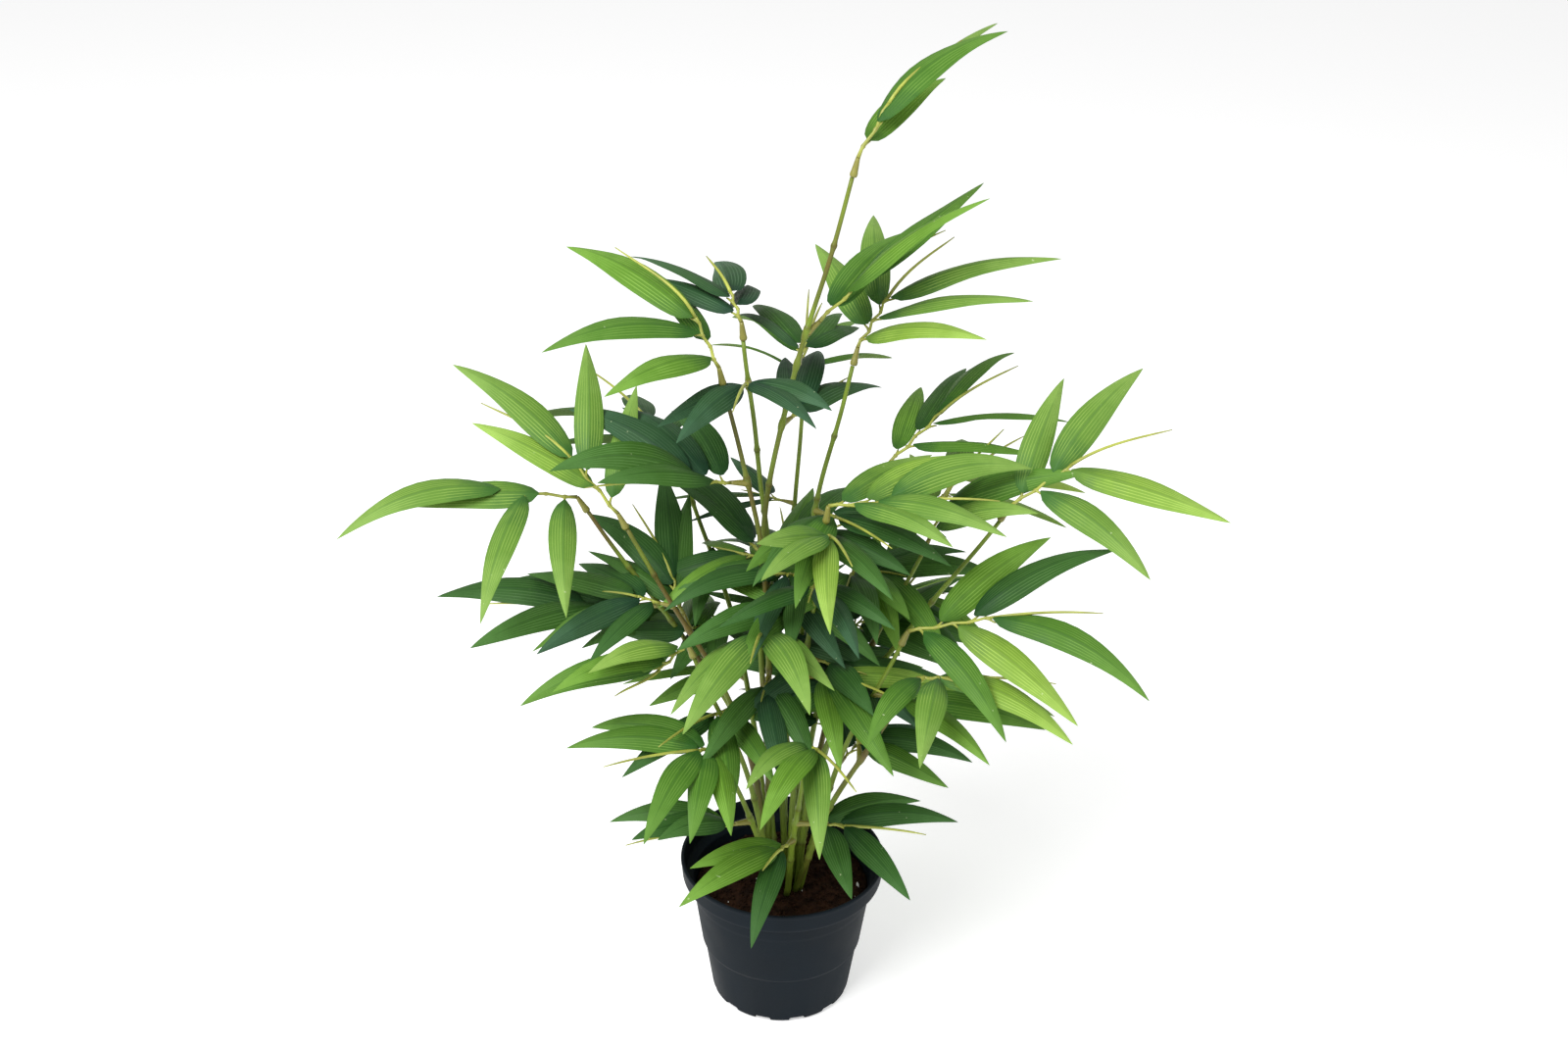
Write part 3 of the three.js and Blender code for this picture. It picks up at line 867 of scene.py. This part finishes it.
def build_leaves(shade, leaves, settings, materials):
    """All leaves of one shade as one joined mesh; both sides of each have their own cell."""
    faces, corners, slots, outline = leaf_grid()
    columns = math.ceil(math.sqrt(len(leaves) * 2 * 3.6))
    rows = math.ceil(len(leaves) * 2 / columns)
    cell = np.array((1 / columns, 1 / rows))
    batch = Batch()
    for number, leaf in enumerate(leaves):
        points, along, side = leaf_points(leaf, settings)
        laid = []
        for half in (0, 1):
            index = 2 * number + half
            corner = np.array((index % columns, index // columns))
            part = corners[half * len(corners) // 2:(half + 1) * len(corners) // 2]
            laid.append((corner + 0.06 + 0.88 * part) * cell)
        batch.add(points, faces, slots, np.concatenate(laid).reshape(-1, 2), outline,
                  along=along, across=side, tone=chance(leaf.seed + 0.83))
    return batch.build(f"leaves_{shade}", materials)


# ------------------------------------------------------------------ canes and twigs


CANE_SIDES = 12
CANE_STEP_MM = 6
JOINT_RINGS_MM = np.array((-3.4, -1.6, -0.5, 0, 0.5, 1.6, 3.4))
KNOT_RINGS_MM = np.array((-4, -2, 0, 2, 4))
BARE_TIP_MM = 20  # no joint is nearer than this to a cane's tip
SWAY_MM = 0.35  # how far a cane wanders to the sides between its joints


def knuckle(place, centre, reach):
    """A rounded swelling, 1 at its centre and 0 beyond its reach."""
    return np.clip(1 - ((place - centre) / reach) ** 2, 0, 1)


def cane_shape(route, number, knots, settings):
    """A cane's rings: tapered, swollen at its joints and where a spray is plugged on."""
    length = route.length
    spacing = settings.joint_spacing * (1 + 0.16 * chance(number + 0.3))
    joints = np.arange(spacing * 0.7, length - BARE_TIP_MM * MM, spacing)
    stops = [np.linspace(0, length, max(int(length / (CANE_STEP_MM * MM)), 8))]
    for joint in joints:
        stops.append(joint + JOINT_RINGS_MM * MM)
    for knot in knots:
        stops.append(knot * length + KNOT_RINGS_MM * MM)
    reach = np.unique(np.clip(np.concatenate(stops), 0, length).round(5))
    radii = settings.foot_radius + (settings.tip_radius - settings.foot_radius) * reach / length
    ring = np.zeros_like(reach)
    for joint in joints:
        swell = knuckle(reach, joint, 3.6 * MM)
        radii = radii + 0.35 * MM * swell + 0.25 * MM * (np.abs(reach - joint) < 0.6 * MM)
        ring = np.maximum(ring, knuckle(reach, joint, 1.8 * MM))
    for knot in knots:
        radii = radii + 0.75 * MM * knuckle(reach, knot * length, 4.5 * MM)
    points = np.array([route.at(r / length) for r in reach])
    points[:, 0] += SWAY_MM * MM * np.sin(reach / spacing * math.pi + number) * (reach > 0)
    return points, radii, ring


def build_canes(routes, settings, material):
    """Every cane, joined into one mesh."""
    batch = Batch()
    for number, (name, route) in enumerate(routes.items()):
        knots = [row[1] for row in CANES[name]["sprays"] if row[1] < 1]
        points, radii, ring = cane_shape(route, number, knots, settings)
        shape, faces = tube(points, radii, CANE_SIDES)
        shape[:, 2] = np.maximum(shape[:, 2], (SOIL_LEVEL_MM - 2) * MM)
        batch.add(shape, faces, tint=chance(number * 3 + 1), ring=np.repeat(ring, CANE_SIDES))
    return batch.build("canes", [material])


def curved(start, lead, end, arrive, count):
    """Points on a smooth bend from start to end, leaving along lead and arriving along arrive."""
    share = np.linspace(0, 1, count)[:, None]
    pull = np.linalg.norm(end - start)
    square, cube = share ** 2, share ** 3
    return (start * (2 * cube - 3 * square + 1) + lead * pull * (cube - 2 * square + share)
            + end * (3 * square - 2 * cube) + arrive * pull * (cube - square))


TWIG_SIDES = 8
NODE_STEP_MM = 0.9  # how far a leaf's node stands off its twig's middle line, by turns
NODE_REACH_MM = 24  # a shorter stalk has smaller steps
SPIKE_STEPS = 12
# Places along a collar and a spike, as shares of their length, and the radius there in mm.
COLLAR_SHARES = (0, 0.05, 0.12, 0.2, 0.3, 0.45, 0.65, 0.85, 1)
COLLAR_RADII = (1.75, 2.1, 2.3, 2.25, 2.0, 1.85, 1.65, 1.4, 1.25)
SPIKE_SHARES = (0, 0.1, 0.8, 1)
SPIKE_RADII = (1.1, 1.05, 0.7, 0.3)
PETIOLE_RADII = (1.15, 0.95, 0.75, 0.68, 0.6, 0.35)


def add_twig(batch, spray, leaf_settings):
    """Collar, zigzag stalk, petioles and end spike of one spray."""
    scale = spray.scale
    collar = np.array([spray.start + (spray.elbow - spray.start) * s for s in COLLAR_SHARES])
    girth = np.array(COLLAR_RADII) * MM * scale
    shape, faces = tube(collar, girth, TWIG_SIDES + 2)
    batch.add(shape, faces, tan=0.85)

    line = spray.end - spray.neck
    reach = np.linalg.norm(line)
    sideways = unit(np.cross(line, UP)) if abs(unit(line)[2]) < 0.95 else np.array((1.0, 0, 0))
    count = len(spray.leaves)
    step_aside = min(reach / (NODE_REACH_MM * MM), 1)
    sways = [sideways * (NODE_STEP_MM * MM if i % 2 else -NODE_STEP_MM * MM) * step_aside
             for i in range(count)]
    stops, radii, tan = [spray.elbow], [1.3 * MM * scale], [0.7]
    for i, sway in enumerate(sways):
        node = spray.neck + line * (i + 0.5) / count + sway
        for step, girth_here in ((-0.16, 0.98), (0, 1.4), (0.16, 0.98)):
            stops.append(node + line * step / count)
            radii.append(girth_here * MM * scale * (1 - 0.25 * i / count))
            tan.append(0.45 if step == 0 else 0.15)
    stops.append(spray.end)
    radii.append(1.1 * MM * scale)
    tan.append(0.1)
    shape, faces = tube(stops, radii, TWIG_SIDES)
    batch.add(shape, faces, tan=np.repeat(tan, TWIG_SIDES))

    spike_lead = unit(spray.end - spray.neck)
    spike_way = unit(spray.tip - spray.end)
    spike = curved(spray.end, spike_lead, spray.tip, spike_way - UP * 0.12, SPIKE_STEPS)
    girth = np.interp(np.linspace(0, 1, SPIKE_STEPS), SPIKE_SHARES, SPIKE_RADII) * MM * scale
    shape, faces = tube(spike, girth, TWIG_SIDES - 2)
    batch.add(shape, faces, tan=np.repeat(np.linspace(0.05, 0.2, SPIKE_STEPS), TWIG_SIDES - 2))

    for leaf, sway in zip(spray.leaves, sways):
        foot = leaf.base + sway
        blade = leaf.base + leaf.chord * (leaf_settings.petiole + 2.2 * MM) + leaf.face * 0.75 * MM
        lead = unit(spray.ahead * 0.5 + leaf.chord)
        petiole = curved(foot, lead, blade, leaf.chord, len(PETIOLE_RADII))
        girth = np.array(PETIOLE_RADII) * MM * scale
        shape, faces = tube(petiole, girth, TWIG_SIDES - 2)
        batch.add(shape, faces, tan=0.2)


# ------------------------------------------------------------------ pot and filling


POT_SIDES = 120
POT_FOOT_SHARE = 0.685  # radii of the foot and the shoulder, as shares of the rim's
POT_SHOULDER_SHARE = 0.892
POT_LEDGE_SHARE = 0.38  # height of the small step round the body, as a share of the pot's
LEDGE_DEPTH_MM = 1.6
CORNER_MM = 0.9  # rounding of the pot's edges
NOTCH_MM = (9, 11, 4)  # depth, width and height of a drainage notch's cutter
NOTCH_MIDDLE_MM = 1.5  # height of the cutter's middle, whose foot is below the pot's
HARD_EDGE_DEG = 38


def lathe_faces(rings, sides):
    """Faces of a closed solid of revolution: its first point, its rings and its last point."""
    faces = [(0, 1 + (k + 1) % sides, 1 + k) for k in range(sides)]
    for row in range(rings - 1):
        low, high = 1 + row * sides, 1 + (row + 1) * sides
        faces += [(low + k, low + (k + 1) % sides, high + (k + 1) % sides, high + k)
                  for k in range(sides)]
    top = 1 + (rings - 1) * sides
    faces += [(top + sides, top + k, top + (k + 1) % sides) for k in range(sides)]
    return faces


def turned(profile, sides):
    """Points and faces of a solid of revolution; the profile runs from axis to axis."""
    angles = np.arange(sides) * 2 * math.pi / sides
    round_part = profile[1:-1]
    rings = [[(r * math.cos(a), r * math.sin(a), z) for a in angles] for r, z in round_part]
    points = [(0, 0, profile[0][1])] + [p for ring in rings for p in ring] + [(0, 0, profile[-1][1])]
    return points, lathe_faces(len(rings), sides)


def rounded(outline, reach, steps=4):
    """The outline with each inner corner swapped for a short bend."""
    points = [outline[0]]
    for before, corner, after in zip(outline, outline[1:], outline[2:]):
        before, corner, after = (np.array(p, float) for p in (before, corner, after))
        cut = [min(reach, np.linalg.norm(other - corner) * 0.45) for other in (before, after)]
        start = corner + unit(before - corner) * cut[0]
        end = corner + unit(after - corner) * cut[1]
        for step in range(steps + 1):
            s = step / steps
            points.append(tuple(start * (1 - s) ** 2 + corner * 2 * s * (1 - s) + end * s * s))
    points.append(outline[-1])
    return points


def pot_profile(settings):
    """The wall's outline, from the middle of the underside to the inner floor, and the foot's radius."""
    low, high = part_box("pot")
    height, rim = high.z - low.z, high.x
    wall, band = settings.wall, height - settings.rim_band
    foot, shoulder = rim * POT_FOOT_SHARE, rim * POT_SHOULDER_SHARE
    ledge, step = height * POT_LEDGE_SHARE, LEDGE_DEPTH_MM * MM

    def body(z):
        """Radius of the body above its ledge, at a height."""
        return foot + step + (shoulder - foot - step) * z / band

    return rounded([
        (0, 0.8 * MM),
        (foot - 12 * MM, 0.8 * MM),
        (foot - 10 * MM, 0),
        (foot - 1.8 * MM, 0),
        (foot, 1.8 * MM),
        (body(ledge) - step, ledge - 1 * MM),
        (body(ledge), ledge + 1 * MM),
        (body(band - 13 * MM), band - 13 * MM),
        (body(band - 11 * MM) + 0.25 * MM, band - 11 * MM),
        (shoulder + 0.2 * MM, band - 1 * MM),
        (rim - 1.7 * MM, band + 0.4 * MM),
        (rim - 1.1 * MM, band + 2 * MM),
        (rim - 0.3 * MM, height - 2.4 * MM),
        (rim, height - 1.6 * MM),
        (rim - 0.2 * MM, height),
        (rim - wall - 0.5 * MM, height),
        (rim - wall - 1.2 * MM, height - 3 * MM),
        (rim - wall - 1.9 * MM, band + wall),
        (shoulder - wall, band - wall),
        (body(ledge) - wall, ledge + 1 * MM),
        (body(ledge) - step - wall, ledge - 1 * MM),
        (body(POT_FLOOR_MM * MM) - step - wall, POT_FLOOR_MM * MM),
        (0, POT_FLOOR_MM * MM),
    ], CORNER_MM * MM), foot


def build_pot(settings, material):
    """The pot: a turned shell with drainage notches cut through its bottom edge."""
    profile, foot = pot_profile(settings)
    points, faces = turned(profile, POT_SIDES)
    mesh = bpy.data.meshes.new("pot_shell")
    mesh.from_pydata(points, [], faces)
    mesh.materials.append(material)
    piece = place_in_scene(bpy.data.objects.new("pot_shell", mesh))
    cutter_mesh = bpy.data.meshes.new("notches")
    shape = bmesh.new()
    for i in range(settings.notches):
        angle = (i + 0.5) * 2 * math.pi / settings.notches
        made = bmesh.ops.create_cube(shape, size=1, matrix=(
            Matrix.Rotation(angle, 4, "Z") @ Matrix.Translation((foot, 0, NOTCH_MIDDLE_MM * MM))
            @ Matrix.Diagonal((*(size * MM for size in NOTCH_MM), 1))))
        edges = list({edge for vertex in made["verts"] for edge in vertex.link_edges})
        bmesh.ops.bevel(shape, geom=edges, offset=0.6 * MM, segments=2, affect="EDGES")
    shape.to_mesh(cutter_mesh)
    shape.free()
    cutter = place_in_scene(bpy.data.objects.new("notches", cutter_mesh))
    cut = piece.modifiers.new("notches", "BOOLEAN")
    cut.operation, cut.solver, cut.object = "DIFFERENCE", "EXACT", cutter
    finish_modifiers(piece)
    bpy.data.objects.remove(cutter)
    piece.data.shade_smooth()
    piece.data.set_sharp_from_angle(angle=math.radians(HARD_EDGE_DEG))
    return piece


def finish_modifiers(piece):
    """Makes the modified shape the piece's own mesh."""
    graph = bpy.context.evaluated_depsgraph_get()
    final = bpy.data.meshes.new_from_object(piece.evaluated_get(graph))
    piece.modifiers.clear()
    piece.data = final


SETTLED_MM = 1.8  # how far the filling's middle height lies under its packed level
HEAP_MM = 2.2
EDGE_DROP_MM = 2.4
CLOD_MM = 11  # span of one lump of the rough top
ROUGH_MM = 1.5
SOIL_RINGS = 34
SOIL_SIDES = 110
LUMP_SIZES = (0.5, 0.7, 0.9, 1, 1.2, 1.7)


def soil_height(x, y, radius, level):
    """Height of the filling: heaped a little round the canes and rough all over."""
    reach = min(math.hypot(x, y) / radius, 1)
    heap = HEAP_MM * MM * (1 - reach * reach) - EDGE_DROP_MM * MM * reach ** 6
    place = Vector((x, y, 0.3)) / (CLOD_MM * MM)
    rough = noise.fractal(place, 0.9, 2.1, 5) * ROUGH_MM * MM
    return level - SETTLED_MM * MM + heap + rough


def build_soil(material):
    """The filling: a tapered plug with a rough, slightly heaped top."""
    low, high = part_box("soil")
    radius, level = high.x, high.z
    rings, sides = SOIL_RINGS, SOIL_SIDES
    inner = [(low.z, radius * 0.78), (low.z + 30 * MM, radius * 0.87)]
    points = [(0, 0, low.z)]
    for z, r in inner:
        points += [(r * math.cos(a), r * math.sin(a), z)
                   for a in np.arange(sides) * 2 * math.pi / sides]
    for ring in range(rings):
        r = radius * (1 - ring / rings)
        for k in range(sides):
            angle = k * 2 * math.pi / sides
            x, y = r * math.cos(angle), r * math.sin(angle)
            points.append((x, y, soil_height(x, y, radius, level)))
    points.append((0, 0, soil_height(0, 0, radius, level)))
    mesh = bpy.data.meshes.new("soil_bed")
    mesh.from_pydata(points, [], lathe_faces(rings + len(inner), sides))
    mesh.shade_smooth()
    mesh.materials.append(material)
    return place_in_scene(bpy.data.objects.new("soil_bed", mesh))


def lump(draw, size, flatness):
    """Points and faces of one small uneven crumb."""
    shape = bmesh.new()
    bmesh.ops.create_icosphere(shape, subdivisions=1, radius=0.5)
    stretch = Vector((draw.uniform(0.7, 1.5), draw.uniform(0.5, 1), draw.uniform(0.5, 1) * flatness))
    turn = Euler([draw.uniform(0, 6.28) for _ in range(3)]).to_matrix()
    points = []
    for vertex in shape.verts:
        place = vertex.co * draw.uniform(0.75, 1.25) * size
        points.append(turn @ Vector(a * b for a, b in zip(place, stretch)))
    faces = [[v.index for v in face.verts] for face in shape.faces]
    shape.free()
    return np.array([p[:] for p in points]), faces


def scatter(name, count, size, spread, material, seed, flatness=0.8):
    """Loose lumps lying on the filling, joined into one mesh."""
    low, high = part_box("soil")
    draw = random.Random(seed)
    batch = Batch()
    for _ in range(count):
        reach = (high.x - 1.5 * MM) * math.sqrt(draw.random()) * spread
        angle = draw.uniform(0, 2 * math.pi)
        x, y = reach * math.cos(angle), reach * math.sin(angle)
        own = size * draw.choice(LUMP_SIZES) * draw.uniform(0.8, 1.2)
        points, faces = lump(draw, own, flatness)
        z = soil_height(x, y, high.x, high.z) + own * 0.12
        batch.add(points + np.array((x, y, z)), faces)
    return batch.build(name, [material])


# ------------------------------------------------------------------ operators


class BAMBOO_OT_pot(bpy.types.Operator):
    """Build the nursery pot with its rim band, ledge and drainage notches"""

    bl_idname = "bamboo.pot"
    bl_label = "Pot"

    def execute(self, context):
        settings = context.scene.bamboo_pot
        piece = build_pot(settings, pot_finish("slate_plastic", settings.colour))
        seat(piece, "pot_plastic", "pot")
        return {"FINISHED"}


class BAMBOO_OT_soil(bpy.types.Operator):
    """Build the peat filling with its crumbs and white grains"""

    bl_idname = "bamboo.soil"
    bl_label = "Filling"

    def execute(self, context):
        settings = context.scene.bamboo_soil
        peat = peat_finish("damp_peat", settings.colour)
        seat(build_soil(peat), "peat", "soil")
        crumbs = scatter("peat_crumbs", settings.crumbs, settings.crumb_size, 1, peat, 11)
        seat(crumbs, "peat")
        grains = scatter("white_grains", settings.grains, settings.crumb_size * 1.1, 0.96,
                         grain_finish("perlite"), 23)
        seat(grains, "peat")
        return {"FINISHED"}


class BAMBOO_OT_canes(bpy.types.Operator):
    """Build the coated canes with their joints"""

    bl_idname = "bamboo.canes"
    bl_label = "Canes"

    def execute(self, context):
        settings = context.scene.bamboo_cane
        routes = {name: Route(row) for name, row in CANES.items()}
        piece = build_canes(routes, settings, cane_finish("coated_wire", settings.green, settings.brown))
        seat(piece, "cane_plastic", *(f"cane_{name}" for name in CANES))
        return {"FINISHED"}


class BAMBOO_OT_sprays(bpy.types.Operator):
    """Grow the plug-on twigs and their leaves from the canes"""

    bl_idname = "bamboo.sprays"
    bl_label = "Sprays"

    def execute(self, context):
        cane, leaf = context.scene.bamboo_cane, context.scene.bamboo_leaf
        routes = {name: Route(row) for name, row in CANES.items()}
        planned = planned_sprays(routes)
        every = [*planned.values(), *filler_sprays(routes, leaf)]
        twigs = Batch()
        for spray in every:
            add_twig(twigs, spray, leaf)
        seat(twigs.build("twigs", [twig_finish("twig_plastic", cane.twig, cane.brown)]), "cane_plastic")
        bases = {"fresh": leaf.fresh, "mid": leaf.mid, "deep": leaf.deep, "slate": leaf.slate}
        for shade, base in bases.items():
            own = [one for spray in every for one in spray.leaves if dealt_shade(one) == shade]
            materials = [leaf_finish(f"{shade}_leaf", base),
                         underside_finish(f"{shade}_back", base)]
            piece = build_leaves(shade, own, leaf, materials)
            nodes = [name for name, spray in planned.items() if spray.shade == shade]
            seat(piece, "leaf_fabric", *nodes)
        return {"FINISHED"}


FLOOR_REACH = 8
FLOOR_GLOW = 0.42
LIGHT_TARGET = (0, 0, 0.3)
KEY_PLACE, KEY_SIZE = (-0.9, -1.1, 1.9), 1.3
FILL_PLACE, FILL_SIZE = (1.3, -0.7, 1.3), 1.2
CAMERA_PLACE = (-0.0023, -1.095, 0.9056)
CAMERA_DOWN_DEG = 27.38
CAMERA_ROLL_DEG = 0.9
CAMERA_SENSOR, CAMERA_LENS = 36, 48.16


class BAMBOO_OT_stage(bpy.types.Operator):
    """Set up the pale floor, the soft lights and the camera"""

    bl_idname = "bamboo.stage"
    bl_label = "Stage"

    def execute(self, context):
        settings = context.scene.bamboo_stage
        scene = context.scene
        scene.view_settings.view_transform = "Standard"
        mesh = bpy.data.meshes.new("studio_floor")
        corners = [(x * FLOOR_REACH, y * FLOOR_REACH, 0)
                   for x, y in ((-1, -1), (1, -1), (1, 1), (-1, 1))]
        mesh.from_pydata(corners, [], [(0, 1, 2, 3)])
        mesh.materials.append(floor_finish("matt_floor", settings.floor))
        floor = place_in_scene(bpy.data.objects.new("studio_floor", mesh))
        world = bpy.data.worlds.new("pale_surroundings")
        world.use_nodes = True
        background = world.node_tree.nodes["Background"]
        background.inputs["Color"].default_value = (1, 1, 1, 1)
        background.inputs["Strength"].default_value = settings.sky
        scene.world = world
        soft_light("key", KEY_PLACE, KEY_SIZE, settings.key_power)
        soft_light("fill", FILL_PLACE, FILL_SIZE, settings.fill_power)
        make_camera(scene)
        return {"FINISHED"}


def soft_light(name, place, size, power):
    """A square soft light that looks at the middle of the crown."""
    data = bpy.data.lights.new(name, "AREA")
    data.energy, data.size = power, size
    light = place_in_scene(bpy.data.objects.new(name, data))
    light.location = place
    aim = Vector(LIGHT_TARGET) - Vector(place)
    light.rotation_euler = aim.to_track_quat("-Z", "Y").to_euler()


def make_camera(scene):
    """A camera about 1.1 m in front of the pot, looking down on it at 27 degrees."""
    data = bpy.data.cameras.new("camera")
    data.sensor_width, data.lens = CAMERA_SENSOR, CAMERA_LENS
    camera = place_in_scene(bpy.data.objects.new("camera", data))
    pitch = Matrix.Rotation(math.radians(90 - CAMERA_DOWN_DEG), 4, "X")
    roll = Matrix.Rotation(math.radians(CAMERA_ROLL_DEG), 4, "Z")
    camera.matrix_world = Matrix.Translation(CAMERA_PLACE) @ pitch @ roll
    scene.camera = camera


class BAMBOO_PT_sidebar(bpy.types.Panel):
    """Sidebar panel that lists the plant's pieces"""

    bl_idname = "BAMBOO_PT_sidebar"
    bl_label = "Potted Bamboo"
    bl_space_type = "VIEW_3D"
    bl_region_type = "UI"
    bl_category = "Bamboo"

    def draw(self, context):
        for settings, operators in PARTS:
            box = self.layout.box()
            for name in operators:
                box.operator(name)
            own = getattr(context.scene, settings)
            for key in own.bl_rna.properties.keys():
                if key not in ("name", "rna_type"):
                    box.prop(own, key)


PARTS = (
    ("bamboo_pot", ("bamboo.pot",)),
    ("bamboo_soil", ("bamboo.soil",)),
    ("bamboo_cane", ("bamboo.canes",)),
    ("bamboo_leaf", ("bamboo.sprays",)),
    ("bamboo_stage", ("bamboo.stage",)),
)

SETTINGS = {
    "bamboo_pot": PotSettings,
    "bamboo_soil": SoilSettings,
    "bamboo_cane": CaneSettings,
    "bamboo_leaf": LeafSettings,
    "bamboo_stage": StageSettings,
}

CLASSES = (
    *SETTINGS.values(),
    BAMBOO_OT_pot,
    BAMBOO_OT_soil,
    BAMBOO_OT_canes,
    BAMBOO_OT_sprays,
    BAMBOO_OT_stage,
    BAMBOO_PT_sidebar,
)


def register():
    for each in CLASSES:
        bpy.utils.register_class(each)
    for name, settings in SETTINGS.items():
        setattr(bpy.types.Scene, name, bpy.props.PointerProperty(type=settings))


def unregister():
    for name in SETTINGS:
        delattr(bpy.types.Scene, name)
    for each in reversed(CLASSES):
        bpy.utils.unregister_class(each)


def main():
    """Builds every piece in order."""
    register()
    bpy.ops.bamboo.pot()
    bpy.ops.bamboo.soil()
    bpy.ops.bamboo.canes()
    bpy.ops.bamboo.sprays()
    bpy.ops.bamboo.stage()
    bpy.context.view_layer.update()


if __name__ == "__main__":
    main()
